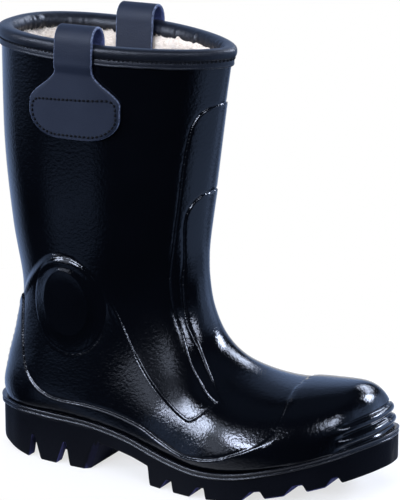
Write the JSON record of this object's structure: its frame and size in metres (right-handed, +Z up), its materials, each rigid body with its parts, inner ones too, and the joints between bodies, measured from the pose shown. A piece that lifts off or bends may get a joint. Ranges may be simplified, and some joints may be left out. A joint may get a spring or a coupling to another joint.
{
  "type": "safety rigger boot",
  "caption": "Glossy black moulded work boot for the right foot, fleece lined, with a steel toe cap inside, leather pull straps at the rim and a lugged sole.",
  "frame": {"origin": "on the ground, at the middle of the outsole's length and width", "axes": "+X towards the toe, -Y towards the outer side of the foot, +Z up the leg"},
  "size_m": [0.3, 0.1169, 0.3201],
  "materials": {
    "upper": "glossy moulded",
    "sole": "matte moulded",
    "steel": "pressed sheet",
    "edge_strip": "soft strip",
    "insulation": "felted fibre",
    "cushion": "soft foam",
    "board": "pressed fibre",
    "fleece": "deep pile",
    "footbed": "short pile",
    "binding": "satin",
    "strap": "matte grain with a felt back",
    "thread": "waxed thread"
  },
  "bodies": {
    "boot": {"upper_shell": "upper", "outsole": "sole", "toe_cap": "steel", "toe_cap_edge": "edge_strip", "puncture_plate": "steel", "insulating_board": "insulation", "heel_cushion": "cushion", "insole_board": "board", "lining_outer_half": "fleece", "lining_inner_half": "fleece", "top_binding": "binding", "binding_stitches": "thread", "outer_strap_patch": "strap", "outer_strap_tail": "strap", "outer_patch_stitches": "thread", "inner_strap_patch": "strap", "inner_strap_tail": "strap", "inner_patch_stitches": "thread"},
    "outer_loop": {"outer_strap_loop": "strap"},
    "inner_loop": {"inner_strap_loop": "strap"},
    "loose_footbed": {"footbed": "footbed"}
  },
  "joints": [
    {"name": "outer_loop_tilt", "type": "hinge", "parent": "boot", "child": "outer_loop", "pos_m": [-0.057, -0.04683, 0.3124], "axis": [1, 0, 0], "range_deg": [-20, 20], "stiffness_Nm_per_rad": 0.05},
    {"name": "inner_loop_tilt", "type": "hinge", "parent": "boot", "child": "inner_loop", "pos_m": [-0.062, 0.04895, 0.3124], "axis": [1, 0, 0], "range_deg": [-20, 20], "stiffness_Nm_per_rad": 0.05},
    {"name": "footbed_lift", "type": "hinge", "parent": "boot", "child": "loose_footbed", "pos_m": [0.118, 0, 0.044], "axis": [0, 1, 0], "range_deg": [0, 8]}
  ]
}
